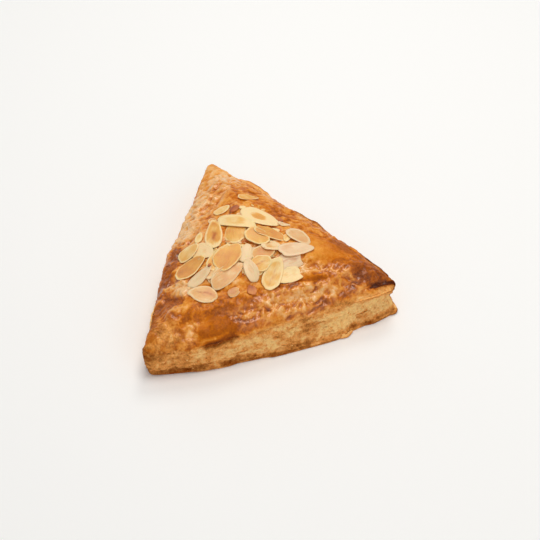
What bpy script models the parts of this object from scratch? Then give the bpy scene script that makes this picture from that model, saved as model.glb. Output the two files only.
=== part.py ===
"""Puff pastry triangle strewn with flaked almonds, lying flat. Metres, +Z up, origin under the middle of its box."""

import bmesh
import bpy
import numpy as np
from mathutils import Matrix, Vector, noise
from mathutils.bvhtree import BVHTree

MM = 0.001

# Corners of the plan in the order front left, front right, back, where the straight sides would meet.
# Each side runs from its corner to the next: front, right, left.
BASE_CORNERS = np.array([(-68.7, -61.0), (69.0, -61.8), (2.5, 62.0)]) * MM
RIM_CORNERS = np.array([(-70.4, -60.7), (67.0, -60.5), (2.5, 62.5)]) * MM
CORNER_ROUNDING = 2.6 * MM
CENTRE = np.array([0.0, -20.0]) * MM
# Middle of the box round the plan above; everything is moved so that the origin lies under it
BOX_MIDDLE = Vector((-0.76, -4.6, 0.0)) * MM

# How far each side stands out: a bow over its whole length and a belly at one place
BASE_BOW = np.array([9.0, 6.0, 3.5]) * MM
BASE_BELLY = np.array([1.5, 0.0, 2.0]) * MM
BASE_BELLY_AT = (0.74, 0.5, 0.5)
RIM_BOW = np.array([4.0, 1.0, 0.0]) * MM
RIM_BELLY = np.array([2.0, 1.5, 3.4]) * MM
RIM_BELLY_AT = (0.24, 0.22, 0.57)
BELLY_WIDTH = 0.17

# Heights
CORNER_RIM_HEIGHT = np.array([17.5, 19.0, 17.5]) * MM
SIDE_RIM_RISE = np.array([1.0, 3.5, 3.5]) * MM
CROWN_HEIGHT = 37.0 * MM
DOME_POWER = 2.2

# Wall: a narrow foot, the bottom crust's lip, layers that stand in and out, the lip of the top sheet
FOOT_RADIUS = 1.4 * MM
LIP = 1.0 * MM
CORNER_WAIST = np.array([-1.1, 1.8, 1.2]) * MM
LAYERS = 6
LAYER_DEPTH = 0.7 * MM
LAYER_WANDER = 14.0 * MM

# Crust relief: ridges and dents as (from, to, half width, height), then bumps of one size all over
RELIEF = (
    (Vector((-56, -50)), Vector((-8, -54)), 4.0, 1.2),
    (Vector((-36, -61)), Vector((-26, -60)), 5.5, 1.4),
    (Vector((-34, -66)), Vector((-14, -62)), 2.6, -1.3),
    (Vector((0, -46)), Vector((40, -42)), 3.6, -1.2),
    (Vector((2, -53)), Vector((44, -50)), 4.0, 1.2),
    (Vector((28, 2)), Vector((42, 2)), 3.4, -1.8),
    (Vector((30, 14)), Vector((34, 12)), 5.5, 1.0),
    (Vector((-8, 36)), Vector((6, 42)), 2.6, 1.1),
    (Vector((-12, 26)), Vector((4, 33)), 2.6, -0.9),
    (Vector((54, -48)), Vector((64, -58)), 4.0, 1.0),
)
BUMP_SIZE = 17.0 * MM
BUMP_HEIGHT = 0.7 * MM

# Flaked almonds and chips of them, lowest of the pile first: x, y, heading in degrees, length and width
FLAKES = (
    (-44, -24, 28, 13, 7),
    (-43, -34, 35, 11, 7),
    (-24, -6, 62, 8, 4),
    (-26, -35, 30, 9, 6),
    (-5.5, -29, 60, 12, 9),
    (3, -32, 0, 13, 8),
    (0, -37.5, 8, 12, 8),
    (8.5, -29, -20, 11, 8),
    (-25.5, -18, -60, 14, 10),
    (17, -38.8, 2, 13, 9),
    (-18.5, -27.5, 42, 20, 12),
    (-18.7, -39, 22, 22, 9.5),
    (-6.5, -39.3, 96, 12.5, 7),
    (-32, -34.5, 22, 15, 8),
    (-6, -12.5, 70, 17, 11.5),
    (3.8, -20.8, -60, 15, 11),
    (25.3, -24.2, -60, 14.5, 10.5),
    (-16.3, -8.3, 73, 22, 9.5),
    (-3, -5.8, -38, 23, 10),
    (11, -19.6, -41, 18.5, 9),
    (10, -5.5, -47, 23, 12.5),
    (-31.8, -13, 30, 12.5, 9.5),
    (-34.3, -24.3, 20, 17.5, 11),
    (-14.7, -28.5, 35, 20, 12.5),
    (14.8, -46.8, 4, 14, 7),
    (20.5, -34, -6, 20.5, 9.5),
    (4.5, -43.7, 50, 18.5, 10),
    (-33.8, -44, -28, 15.5, 10),
    (10.3, 15, -4, 12, 5),
    (-6.5, 9, 12, 10, 6),
    (-17.6, -47.6, 5, 7.5, 4.5),
    (21, -13, -10, 7, 4),
    (-8.8, -49, 80, 5, 4.5),
    (-0.5, 5, 20, 5, 5),
)
FLAKE_THICKNESS = 1.1 * MM
FLAKE_ROOT = 1.6 * MM
FLAKE_SIDES = 14
FLAKE_TAPER = 0.22
CAST_HEIGHT = 80.0 * MM

# Baked golden glaze
COLOUR = (0.56, 0.25, 0.08, 1.0)
ROUGHNESS = 0.38
SHARP_ANGLE = 0.6

# Mesh
PER_SIDE = 42
WALL_RINGS = 18


def rounded(points, radius):
    """A closed outline with its corners softened over this radius."""
    place = points[:, 0] + 1j * points[:, 1]
    spacing = np.abs(np.roll(place, -1) - place).mean()
    waves = 2 * np.pi * np.fft.fftfreq(len(place))
    place = np.fft.ifft(np.fft.fft(place) * np.exp(-0.5 * (waves * radius / spacing) ** 2))
    return np.stack([place.real, place.imag], axis=1)


def outline(corners, bow, belly, belly_at):
    """A plan outline anticlockwise from the front left corner, with PER_SIDE points on each side."""
    share = np.arange(PER_SIDE) / PER_SIDE
    sides = []
    for side in range(3):
        along = corners[(side + 1) % 3] - corners[side]
        outward = np.array([along[1], -along[0]]) / np.hypot(*along)
        swell = bow[side] * 4 * share * (1 - share)
        swell = swell + belly[side] * np.exp(-(((share - belly_at[side]) / BELLY_WIDTH) ** 2))
        sides.append(corners[side] + share[:, None] * along + swell[:, None] * outward)
    return rounded(np.concatenate(sides), CORNER_ROUNDING)


def along_sides(at_corners):
    """A value at each point of the outline, from its values at the three corners."""
    return np.interp(np.arange(3 * PER_SIDE) / PER_SIDE, range(4), np.append(at_corners, at_corners[0]))


def rim_heights():
    """Height of the rim at each point of the outline, lowest at the corners."""
    share = np.arange(PER_SIDE) / PER_SIDE
    rise = SIDE_RIM_RISE[:, None] * np.sin(np.pi * share) ** 0.7
    return along_sides(CORNER_RIM_HEIGHT) + rise.ravel()


def outward_of(points):
    """Unit normals of a closed anticlockwise outline."""
    along = np.roll(points, -1, axis=0) - np.roll(points, 1, axis=0)
    return np.stack([along[:, 1], -along[:, 0]], axis=1) / np.linalg.norm(along, axis=1)[:, None]


def noise_at(points, size, seed):
    """Smooth noise from about -1 to 1 at each point, with bumps of this size."""
    shift = Vector((seed * 7.3, seed * 3.1, seed * 5.7))
    return np.array([noise.noise(Vector(point) / size + shift) for point in points])


def wall_offset(height_share, layer_noise):
    """How far the wall stands out of the straight line from base to rim, at a share of its height."""
    lips = LIP * (np.exp(-((height_share - 0.08) / 0.07) ** 2) + np.exp(-((height_share - 0.9) / 0.07) ** 2))
    waist = along_sides(CORNER_WAIST) * np.sin(np.pi * height_share) ** 2
    layers = LAYER_DEPTH * np.cos(2 * np.pi * LAYERS * height_share + 2.2 * layer_noise)
    fade = np.clip(height_share / 0.12, 0, 1) * np.clip((1 - height_share) / 0.08, 0, 1)
    return lips - waist + layers * fade


def wall_rings(base, rim, heights):
    """Rings of points from the foot to just below the rim."""
    outward = outward_of(base)
    rings = [np.column_stack([base - FOOT_RADIUS * outward, np.zeros(len(base))])]
    for ring in range(1, WALL_RINGS):
        share = ring / WALL_RINGS
        height = heights * share
        plan = base * (1 - share) + rim * share
        wander = noise_at(np.column_stack([plan, height]), LAYER_WANDER, 1)
        plan = plan + wall_offset(np.full(len(base), share), wander)[:, None] * outward
        rings.append(np.column_stack([plan, height]))
    return rings


def relief_at(points):
    """Height of the hand-shaped ridges and dents of the crust at plan points."""
    total = np.zeros(len(points))
    for start, end, half_width, height in RELIEF:
        start, end = np.array(start) * MM, np.array(end) * MM
        along = end - start
        share = np.clip((points - start) @ along / (along @ along), 0, 1)
        distance = np.linalg.norm(points - start - share[:, None] * along, axis=1)
        total += height * MM * np.exp(-((distance / (half_width * MM)) ** 2))
    return total


def crust_lattice(rim, heights):
    """Triangular lattice of the crust: its points, keyed by whole barycentric weights, and its faces."""
    keys = [(a, b, PER_SIDE - a - b) for a in range(PER_SIDE + 1) for b in range(PER_SIDE + 1 - a)]
    weights = np.array(keys) / PER_SIDE
    least = weights.min(axis=1)
    side = np.array([1, 2, 0])[weights.argmin(axis=1)]
    reach = 1 - 3 * least
    step = np.array([weights[i, (s + 1) % 3] for i, s in enumerate(side)])
    share = np.where(reach > 0, (step - least) / np.maximum(reach, 1e-9), 0)
    around = (side + share) * PER_SIDE

    def along_rim(values):
        return np.interp(around, np.arange(len(values) + 1), np.append(values, values[:1]))

    edge = np.stack([along_rim(rim[:, 0]), along_rim(rim[:, 1])], axis=1)
    rim_height = along_rim(heights)
    plan = CENTRE + reach[:, None] * (edge - CENTRE)
    dome = rim_height + (CROWN_HEIGHT - rim_height) * (1 - reach**DOME_POWER)
    flat = np.column_stack([plan, np.zeros(len(plan))])
    rough = relief_at(plan) + BUMP_HEIGHT * noise_at(flat, BUMP_SIZE, 2)
    height = dome + rough * np.clip((1 - reach) / 0.06, 0, 1)
    return dict(zip(keys, np.column_stack([plan, height])))


def rim_keys():
    """Lattice keys of the rim in the order of the outline."""
    walk = range(PER_SIDE)
    front = [(PER_SIDE - i, i, 0) for i in walk]
    right = [(0, PER_SIDE - i, i) for i in walk]
    left = [(i, 0, PER_SIDE - i) for i in walk]
    return front + right + left


def pastry_mesh():
    """The closed pastry body: flat bottom, layered wall and domed crust."""
    base = outline(BASE_CORNERS, BASE_BOW, BASE_BELLY, BASE_BELLY_AT)
    rim = outline(RIM_CORNERS, RIM_BOW, RIM_BELLY, RIM_BELLY_AT)
    heights = rim_heights()
    body = bmesh.new()
    crust = {key: body.verts.new(point) for key, point in crust_lattice(rim, heights).items()}
    for a, b, c in crust:
        if a < PER_SIDE and b > 0:
            body.faces.new([crust[a, b, c], crust[a + 1, b - 1, c], crust[a, b - 1, c + 1]][::-1])
            if c > 0:
                body.faces.new([crust[a, b, c], crust[a + 1, b, c - 1], crust[a + 1, b - 1, c]][::-1])
    rings = [[body.verts.new(point) for point in ring] for ring in wall_rings(base, rim, heights)]
    rings.append([crust[key] for key in rim_keys()])
    for lower, upper in zip(rings, rings[1:]):
        for i in range(len(lower)):
            j = (i + 1) % len(lower)
            body.faces.new([lower[i], lower[j], upper[j], upper[i]])
    body.faces.new(rings[0][::-1])
    return body


def flake_outline(x, y, heading, length, width):
    """Plan of a flaked almond: broad and round at one end, narrower at the other."""
    turn = 2 * np.pi * np.arange(FLAKE_SIDES) / FLAKE_SIDES
    along = length / 2 * np.cos(turn)
    across = width / 2 * np.sin(turn) * (1 - FLAKE_TAPER * np.cos(turn))
    forward = np.array([np.cos(np.radians(heading)), np.sin(np.radians(heading))])
    sideways = np.array([-forward[1], forward[0]])
    return (np.array([x, y]) + along[:, None] * forward + across[:, None] * sideways) * MM


def height_under(tree, point):
    """Height of the highest surface at a plan point."""
    return tree.ray_cast(Vector((point[0], point[1], CAST_HEIGHT)), Vector((0, 0, -1)))[0].z


def flake_mesh(crust, pile, edge):
    """A flake as a prism: its top lies flat on the pile, its foot is rooted in the crust."""
    middle = edge.mean(axis=0)
    spots = np.concatenate([middle + share * (edge - middle) for share in (0.0, 0.5, 0.95)])
    lie = np.column_stack([spots - middle, np.ones(len(spots))])
    slope = np.linalg.lstsq(lie, [height_under(pile, spot) for spot in spots], rcond=None)[0]
    flake = bmesh.new()
    top, foot = [], []
    for point in np.vstack([edge, middle]):
        lid = np.append(point - middle, 1) @ slope + FLAKE_THICKNESS
        top.append(flake.verts.new((*point, lid)))
        foot.append(flake.verts.new((*point, height_under(crust, point) - FLAKE_ROOT)))
    for i in range(FLAKE_SIDES):
        j = (i + 1) % FLAKE_SIDES
        flake.faces.new([top[i], top[j], top[-1]])
        flake.faces.new([foot[j], foot[i], foot[-1]])
        flake.faces.new([foot[i], foot[j], top[j], top[i]])
    return flake


def object_of(name, body):
    """A new object from a bmesh, which is freed."""
    mesh = bpy.data.meshes.new(name)
    body.to_mesh(mesh)
    body.free()
    made = bpy.data.objects.new(name, mesh)
    bpy.context.scene.collection.objects.link(made)
    return made


def flakes_on(crust_body):
    """The flakes, each laid on the crust and on those before it."""
    crust = BVHTree.FromBMesh(crust_body)
    pile_body = crust_body.copy()
    flakes = []
    for laid in FLAKES:
        flake = flake_mesh(crust, BVHTree.FromBMesh(pile_body), flake_outline(*laid))
        flakes.append(object_of("flake", flake))
        pile_body.from_mesh(flakes[-1].data)
    pile_body.free()
    return flakes


def fuse(body, others):
    """Joins the others to the body as one solid and removes them."""
    gathered = bpy.data.collections.new("flakes")
    for other in others:
        gathered.objects.link(other)
    union = body.modifiers.new("union", "BOOLEAN")
    union.operation = "UNION"
    union.solver = "EXACT"
    union.operand_type = "COLLECTION"
    union.collection = gathered
    with bpy.context.temp_override(object=body, active_object=body):
        bpy.ops.object.modifier_apply(modifier=union.name)
    for other in others:
        bpy.data.objects.remove(other)
    bpy.data.collections.remove(gathered)


def glaze():
    """The one colour of the whole pastry."""
    made = bpy.data.materials.new("baked_crust")
    made.use_nodes = True
    shader = made.node_tree.nodes["Principled BSDF"]
    shader.inputs["Base Color"].default_value = COLOUR
    shader.inputs["Roughness"].default_value = ROUGHNESS
    shader.inputs["Metallic"].default_value = 0.0
    return made


def main():
    for old in list(bpy.data.objects):
        bpy.data.objects.remove(old)
    body = pastry_mesh()
    flakes = flakes_on(body)
    pastry = object_of("pastry", body)
    fuse(pastry, flakes)
    pastry.data.transform(Matrix.Translation(-BOX_MIDDLE))
    pastry.data.shade_smooth()
    pastry.data.set_sharp_from_angle(angle=SHARP_ANGLE)
    pastry.data.materials.clear()
    pastry.data.materials.append(glaze())


if __name__ == "__main__":
    main()
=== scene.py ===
"""Looks of a baked puff pastry triangle with flaked almonds. Metres, +Z up, in the packed part's frame."""

import bpy
import numpy as np
from bpy.props import FloatProperty, FloatVectorProperty, IntProperty, PointerProperty
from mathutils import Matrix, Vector, noise
from mathutils.bvhtree import BVHTree


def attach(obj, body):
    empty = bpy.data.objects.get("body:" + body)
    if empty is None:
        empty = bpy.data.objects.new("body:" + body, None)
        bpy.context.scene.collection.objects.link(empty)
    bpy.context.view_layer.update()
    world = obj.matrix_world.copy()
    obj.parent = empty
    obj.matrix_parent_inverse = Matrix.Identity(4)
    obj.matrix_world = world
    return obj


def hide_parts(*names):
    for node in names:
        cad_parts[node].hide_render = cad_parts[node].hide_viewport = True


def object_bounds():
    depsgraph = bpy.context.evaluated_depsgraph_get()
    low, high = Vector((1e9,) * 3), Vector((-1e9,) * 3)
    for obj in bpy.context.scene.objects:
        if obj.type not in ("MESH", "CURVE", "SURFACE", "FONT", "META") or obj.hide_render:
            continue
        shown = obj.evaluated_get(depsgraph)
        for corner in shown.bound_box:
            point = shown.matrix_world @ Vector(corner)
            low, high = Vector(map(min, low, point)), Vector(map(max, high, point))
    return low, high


bl_info = {
    "name": "Almond pastry triangle",
    "version": (1, 0, 0),
    "blender": (4, 5, 0),
    "location": "3D View > Sidebar > Pastry",
    "description": "Builds a glazed, layered pastry triangle with flaked almonds on its solid",
    "category": "Object",
}

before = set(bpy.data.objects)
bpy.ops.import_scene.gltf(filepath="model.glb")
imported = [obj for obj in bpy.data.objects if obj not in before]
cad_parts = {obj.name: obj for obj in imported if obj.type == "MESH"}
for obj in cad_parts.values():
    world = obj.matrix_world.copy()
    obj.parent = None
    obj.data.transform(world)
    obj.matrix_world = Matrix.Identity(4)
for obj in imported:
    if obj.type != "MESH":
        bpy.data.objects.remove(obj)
CAD_BOX = np.array(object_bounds())
MM = 0.001

# Plan of the pastry, as in its solid: front left, front right, back corner; front, right, left side
BASE_CORNERS = np.array([(-68.7, -61.0), (69.0, -61.8), (2.5, 62.0)]) * MM
RIM_CORNERS = np.array([(-70.4, -60.7), (67.0, -60.5), (2.5, 62.5)]) * MM
CORNER_ROUNDING = 2.6 * MM
CENTRE = np.array([0.0, -20.0]) * MM
BASE_BOW = np.array([9.0, 6.0, 3.5]) * MM
BASE_BELLY = np.array([1.5, 0.0, 2.0]) * MM
BASE_BELLY_AT = (0.74, 0.5, 0.5)
RIM_BOW = np.array([4.0, 1.0, 0.0]) * MM
RIM_BELLY = np.array([2.0, 1.5, 3.4]) * MM
RIM_BELLY_AT = (0.24, 0.22, 0.57)
BELLY_WIDTH = 0.17
RIM_ARCH = 0.7
CORNER_RIM_HEIGHT = np.array([17.5, 19.0, 17.5]) * MM
SIDE_RIM_RISE = np.array([1.0, 3.5, 3.5]) * MM
DOME_POWER = 2.2
DEPTH_TO_CENTRE = 40.0 * MM
SIDE_IN_MM = 139.0
SIDE_LENGTH = SIDE_IN_MM * MM
ROUND_RADIUS = 3 * SIDE_LENGTH / (2 * np.pi)
FOOT_RADIUS = 1.4 * MM
LIP = 1.0 * MM
CORNER_WAIST = np.array([-2.0, 1.8, 1.2]) * MM
# The plan's values are about its own middle; every piece is moved so that the origin lies under the box
BOX_MIDDLE = np.array([-0.76, -4.6, 0.0]) * MM
# The usual crinkle, the bake above which the crust darkens less, and the darkest bake of the side
USUAL_CRINKLE = 0.36
DARK_CRUST = 0.72
DARKEST_SIDE = 0.76

# Twelve values each, evenly round the edge from the front left corner over the front, right and left sides
# How wide the crust rolls over
ROLL = np.array([7.0, 12.0, 8.0, 4.0, 1.0, 1.5, 3.0, 2.5, 2.0, 3.0, 4.0, 6.0]) * MM
# How far down the side the glaze reaches, in mm
GLAZE_REACH = np.array([1.0, 1.5, -0.4, -0.8, -2.1, 0.3, 1.5, 1.5, 1.5, 1.5, 1.5, 1.5])
# How far the rim stands out over the side
RIM_LIP = np.array([0.0, 0.0, 0.2, 0.3, 0.8, 0.7, 0.6, 0.6, 0.5, 0.6, 0.5, 0.2]) * MM
# How clearly the leaves of the side split, from 0 to 1
SPLITTING = np.array([0.1, 0.6, 0.9, 1.0, 1.0, 0.8, 0.6, 0.8, 0.8, 0.8, 0.7, 0.4])

# Soft strokes on the plan of the crust: x and y of the start, x and y of the end, half width in mm, amount
# Ridges and dents, in mm
RELIEF = (
    (-50, -50, -8, -53, 4.2, 0.8), (-46, -55, -10, -58, 2.4, -0.8), (-36, -63.5, -26, -63.8, 4.2, 0.9),
    (-39, -67.5, -24, -66.5, 1.4, -1.5), (-46, -59, -44, -60, 1.6, -0.8), (0, -46, 40, -42, 3.6, -1.0),
    (2, -53, 44, -50, 3.0, 1.2), (15, -50, 29, -52, 1.2, -0.9), (0, -57, 38, -57, 2.0, -0.7),
    (28, 2, 42, 2, 3.4, -1.8), (30, 14, 34, 12, 5.5, 1.0), (-19, 17, -4, 30, 1.6, 1.1),
    (-14, 14, 2, 26, 1.6, -1.0), (-12, 26, 0, 36, 1.5, 1.0), (-8, 34, 4, 40, 1.6, -0.9),
    (54, -48, 64, -55, 4.0, 1.0), (49, -58.2, 65, -58.4, 1.2, -1.2), (-50, -37, -46, -42, 2.4, -1.3),
    (24, -34, 30, -26, 1.8, -0.8), (-51, -31, -39, -19, 1.1, 0.9), (-46, -32, -42, -38, 1.6, 0.7),
    (-42, -29, -40, -33, 1.3, 0.7),
)
# How crinkled the glaze is, from its usual share to much, or to smooth where it is negative
CRINKLES = (
    (-26, -58, 46, -58, 5.0, 0.35), (-20, -60, -6, -62, 3.5, 0.6), (-6, -56, 5, -58, 4.0, 0.8),
    (12, -56.5, 30, -57, 5.0, 1.0), (16, -50.5, 29, -52, 1.8, -0.5), (20, -44, 37, -47.5, 3.0, 1.0),
    (4, -63, 26, -62.5, 2.5, 0.5), (28.5, -59, 31, -56, 2.4, -0.7), (46, -50, 60, -57, 4.0, 0.12),
    (42, -52, 45, -58, 3.5, 0.6), (-58, -54, -50, -46, 5.0, 0.38), (-56, -38, -46, -26, 4.0, 0.3),
    (-18, 19, 2, 34, 9.0, 0.8), (-46, -31, -41, -37, 5.0, 0.9), (-12, 30, -38, -8, 6.0, 0.75),
    (-44, -62, -40, -58, 4.0, 0.2), (-37, -61.5, -27, -61.5, 4.2, -1.4), (-25, -22, 12, -30, 15.0, 0.3),
    (-2, 8, -30, -8, 7.0, 0.3), (22, -28, 42, -34, 8.0, -0.6), (18, 30, 34, 2, 5.0, 0.12),
    (34, 0, 48, -24, 4.0, 0.1), (-58, -60, -46, -60, 4.0, 0.25),
)
# How much more or less the crust is baked; a few strokes are painted highlight and painted shade, as marked
TONES = (
    (48, -51, 62, -56, 4.8, 0.36), (38, -59.6, 44, -58.8, 2.0, 0.32), (42, -46, 50, -49, 4.5, 0.28),
    (67, -54, 51, -22, 2.8, 0.26), (50, -18, 30, 16, 3.0, 0.14), (-66, -54, -54, -26, 2.6, 0.16),
    (44, -26, 62, -54, 3.0, 0.24), (17, 8, 26, -4, 3.5, 0.18), (-38, -8, -50, -30, 4.5, 0.40),
    (-50, -37, -47, -43, 3.0, 0.26), (-56, -38, -62, -50, 4.5, 0.26), (-50, -56, -44, -54, 3.0, 0.10),
    # The blister at the front: darker amber, with a lighter middle that is a painted highlight
    (-38, -61.5, -27, -61.5, 4.2, 0.32), (-36, -59.5, -29, -60.5, 2.2, -0.16),
    (-64, -50, -66, -60, 5.0, 0.12), (-41, -65.2, -34, -65.6, 0.5, -0.26),
    # Under the blister the crease is darkened as painted shade
    (-34, -65.6, -27, -64.9, 0.5, -0.22), (-39, -67.5, -24, -66.5, 1.4, 0.34),
    # A pale patch left of the blister is a painted highlight
    (-24, -65, -12, -63, 2.0, 0.20), (-46.5, -61, -44.5, -58.5, 1.8, -0.30),
    (-52, -51, -34, -54, 2.6, 0.12), (-34, -53, -6, -53, 3.4, 0.20), (-50, -46, -40, -47, 2.0, -0.10),
    (14, -50.5, 29, -51.5, 1.1, 0.26), (2, -50, 12, -50, 2.6, 0.14), (26, -44, 36, -44, 3.4, 0.06),
    (10, -57, 30, -56, 4.5, -0.20), (20, -44, 37, -47.5, 2.6, -0.12), (20, -62, 40, -61.5, 1.6, 0.10),
    (2, 58, 3, 44, 9.0, -0.26), (14, 32, 30, 4, 4.0, -0.04), (-10, 34, -30, 5, 7.0, -0.30),
    (-18, 19, 2, 34, 7.0, -0.08), (-51, -31, -39, -19, 1.2, -0.22), (-46, -32, -41, -37, 4.0, -0.44),
    (-56, -52, -48, -57, 4.0, -0.04), (-25, -20, 15, -30, 18.0, -0.18), (-26, 5, -14, 12, 5.0, -0.18),
    (5, -53.5, 15, -53.5, 2.0, 0.14), (18, -54.5, 36, -52.5, 2.4, 0.16),
)
# Where the crust is darkest: edges that caught, and the crease under the blister at the front, which is
# painted shade
BURNT_AND_CREASE_SHADE = (
    (48, -59.6, 56, -59.4, 0.6, 0.20), (-39, -67.2, -25, -66.9, 0.9, 0.22), (50, -54.5, 60, -57, 3.0, 0.06),
    (54, -59.2, 66, -58.8, 1.0, 0.55), (69, -57, 58, -33, 1.6, 0.20),
)
# Where the crust has no glaze and is dry like the side
DRY = (
    (-70, -61, -62, -60, 8.0, 0.75), (-64, -50, -54, -58, 5.0, 0.35), (-60, -60, -46, -62, 3.5, 0.35),
    (2, 60, 2, 52, 5.0, 0.3),
)
# Where bits of nut are strewn
STREWN = (
    (-30, -20, 12, -24, 8.0, 0.7), (-24, -36, 6, -38, 5.0, 0.7), (-8, 2, 14, 2, 5.0, 0.4),
)
# How much more or less the side is baked, by mm round it from the front left corner and mm high; two strokes
# are painted shade, as marked
SIDE_TONES = (
    (-5, 3, 0, 13, 7.0, 0.26), (14, 6, 28, 7, 5.0, 0.10), (86, 15, 102, 12, 4.0, 0.03),
    # The crease under the blister at the front is darkened as painted shade
    (4, 2, 32, 3, 2.2, 0.18), (31, 16.4, 48, 19.0, 1.3, 0.40), (30, 19.6, 40, 18.9, 0.7, -0.30),
    (39, 4.5, 46, 4.5, 3.0, 0.24), (58, 2.0, 84, 2.5, 1.8, 0.20), (94, 2.5, 112, 2.0, 1.6, 0.18),
    (120, 1.5, 136, 2.5, 2.0, 0.20), (28, 11, 64, 10, 4.5, -0.16), (96, 12, 134, 9, 6.0, -0.20),
    # Under the pale lip at the right corner the recess is darkened as painted shade
    (115, 20, 134, 19, 1.0, -0.16), (118, 16, 136, 15, 1.4, 0.10), (141, 18, 200, 20, 4.0, 0.40),
    (-46, 17, -14, 17, 4.0, 0.22), (77, 17, 83, 17.6, 2.2, -0.12), (70, 2, 84, 3, 2.0, 0.08),
    (38, 2, 56, 3, 2.2, 0.14), (40, 10, 50, 9, 3.5, 0.06), (86, 10, 92, 9, 4.0, 0.18),
)
# Bulges and dents of the side, in mm outwards, over the same places
SIDE_RELIEF = (
    (31, 16.2, 48, 18.6, 1.6, -0.9), (30, 19.6, 44, 19.0, 2.0, 0.6), (111, 0, 117, 3, 4.5, -1.6),
    (48, 0, 58, 2, 5.0, -1.0), (26, 2, 34, 4, 4.0, 0.5), (62, 14, 74, 12, 5.0, 0.5),
    (86, 6, 96, 8, 5.0, -0.5),
)

# Flaked almonds, lowest first: x, y, heading, length, width, in mm and degrees, and six values of their looks
# The six: core toast, core reach, rim toast, dark slit, where a square break is, and yellow, or pink below 0
FLAKES = (
    (-24, -6, 62, 8, 4, 0.28, 0.5, 0.24, 0, 1, 1),
    (-26, -35, 30, 9, 6, 0.16, 0.6, 0.1, 0, 1, -0.4),
    (-5.5, -29, 60, 12, 7.6, 0.05, 0.5, 0.12, 0, 1, -0.6),
    (3, -32, 0, 13, 8, 0.44, 0.84, 0.3, 0, 1, -0.3),
    (0, -37.5, 8, 12, 8, 0.34, 0.84, 0.22, 0.6, 1, 0.6),
    (8.5, -29, -20, 11, 8, 0.26, 0.6, 0.12, 0, 1, -0.4),
    (-25.5, -18, -60, 14, 10, 0.08, 0.5, 0.03, 0, 1, -0.3),
    (16.5, -39, 2, 17, 9.5, 0.16, 0.5, 0.03, 0.5, 0.55, -1),
    (-18.5, -27.5, 42, 20, 12, 0.32, 0.84, 0.26, 0, 1, 0.5),
    (-18.2, -38.4, 22, 21, 8.8, 0.36, 0.92, 0.1, 0, 1, -0.6),
    (-6.5, -39.3, 96, 12.5, 7, 0.22, 0.4, 0.02, 0, 1, -0.7),
    (-32, -34.5, 22, 15, 8, 0.1, 0.6, 0.06, 0, 1, -0.7),
    (-6, -12.5, 70, 17, 11.5, 0.4, 0.88, 0.34, 0, 1, 0.6),
    (3.8, -20.8, -60, 15, 11, 0.45, 0.83, 0.3, 0, 1, 0.7),
    (25.3, -24.2, -60, 14.5, 10.5, 0.32, 0.8, 0.1, 0, 1, -0.7),
    (-16.3, -8.3, 73, 22, 9.5, 0.38, 0.8, 0.2, 1, 1, 0.2),
    (-3, -5.8, -38, 23, 10, 0.18, 0.7, 0.1, 0, 1, 0.7),
    (11, -19.6, -41, 18.5, 9, 0.52, 0.88, 0.16, 0, 1, 0.4),
    (10, -5.5, -47, 23, 12.5, 0.46, 0.36, 0.01, 0, 1, 0.1),
    (-31.8, -13, 30, 12.5, 9.5, 0.32, 0.86, 0.18, 0, 1, 0.6),
    (-34.3, -24.3, 20, 17.5, 11, 0.58, 0.88, 0.16, 0, 1, 0.5),
    (-14.7, -28.5, 35, 20, 12.5, 0.5, 0.9, 0.2, 0, 1, 0.4),
    (14.3, -46.3, 4, 18, 8.5, 0.05, 0.7, 0.05, 0, 0.45, 0.3),
    (20.5, -34, -6, 20, 9, 0.16, 0.8, 0, 0, 1, -1),
    (4.5, -43.7, 50, 18.5, 9.4, 0.24, 0.8, 0.06, 0.35, 1, 0.6),
    (-33.8, -44.2, 152, 15.2, 9.2, 0.34, 0.84, 0.10, 0.8, 1, -0.5),
    (10.3, 15, -4, 12, 5, 0.36, 0.88, 0.3, 0, 1, 0.2),
    (-6.5, 9, 12, 10, 6, 0.26, 0.8, 0.2, 0, 1, 0.4),
    (-17.6, -47.6, 5, 7.5, 4.5, 0.40, 0.9, 0.35, 0.3, 0.6, -0.5),
    (21, -13, -10, 7, 4, 0.08, 0.7, 0.06, 0, 1, -0.6),
    (-8.8, -49, 80, 5.5, 5, 0.74, 1, 0.72, 0, 0.8, 0),
    (-0.5, 5, 20, 6, 5, 0.74, 1, 0.72, 0, 0.8, 0),
    (20.5, -8, 60, 4, 3.5, 0.74, 1, 0.72, 0, 0.8, 0),
    (-25.7, -31.3, 60, 3.2, 2, 0.74, 1, 0.72, 0, 1, 0),
)

# Loose leaves: start and end round the side, height of the root, reach and rise of the edge in mm, and bake
LEAVES = (
    (384, 403, 16.8, 0.3, 4.0, -0.30),
    (231, 256, 20.4, 1.9, 0.2, 0.15),
    (146, 174, 20.0, 0.9, 0.3, 0.66),
    (112, 136, 18.2, 1.3, 0.5, 0.18),
    (102, 111, 1.4, 2.0, -0.5, 0.15),
    (132, 141, 1.3, 1.3, -0.4, 0.45),
    (22, 34, 5.5, 0.6, -0.3, 0.35),
    (44, 53, 8.5, 0.6, -0.3, 0.20),
    (70, 78, 6.0, 0.6, -0.3, 0.25),
    (88, 97, 12.0, 0.6, -0.3, 0.20),
    (113, 122, 8.5, 0.6, -0.3, 0.20),
    (190, 216, 20.6, 1.8, 0.3, 0.45),
    (290, 318, 8.0, 1.3, -0.3, 0.30),
    (334, 352, 15.0, 1.5, 0.3, 0.30),
)

# How far each next seed moves the noise
SEED_STEP = np.array([7.3, 3.1, 5.7])

built = {}


def srgb(red, green, blue):
    """A colour as the shader wants it, from the values 0 to 255 that the eye sees on a screen."""
    share = np.array([red, green, blue]) / 255
    light = np.where(share <= 0.04045, share / 12.92, ((share + 0.055) / 1.055) ** 2.4)
    return (*(round(float(value), 4) for value in light), 1.0)


def colour_prop(name, description, *values):
    options = {"subtype": "COLOR", "size": 4, "min": 0.0, "max": 1.0}
    return FloatVectorProperty(name=name, description=description, default=srgb(*values), **options)


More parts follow.
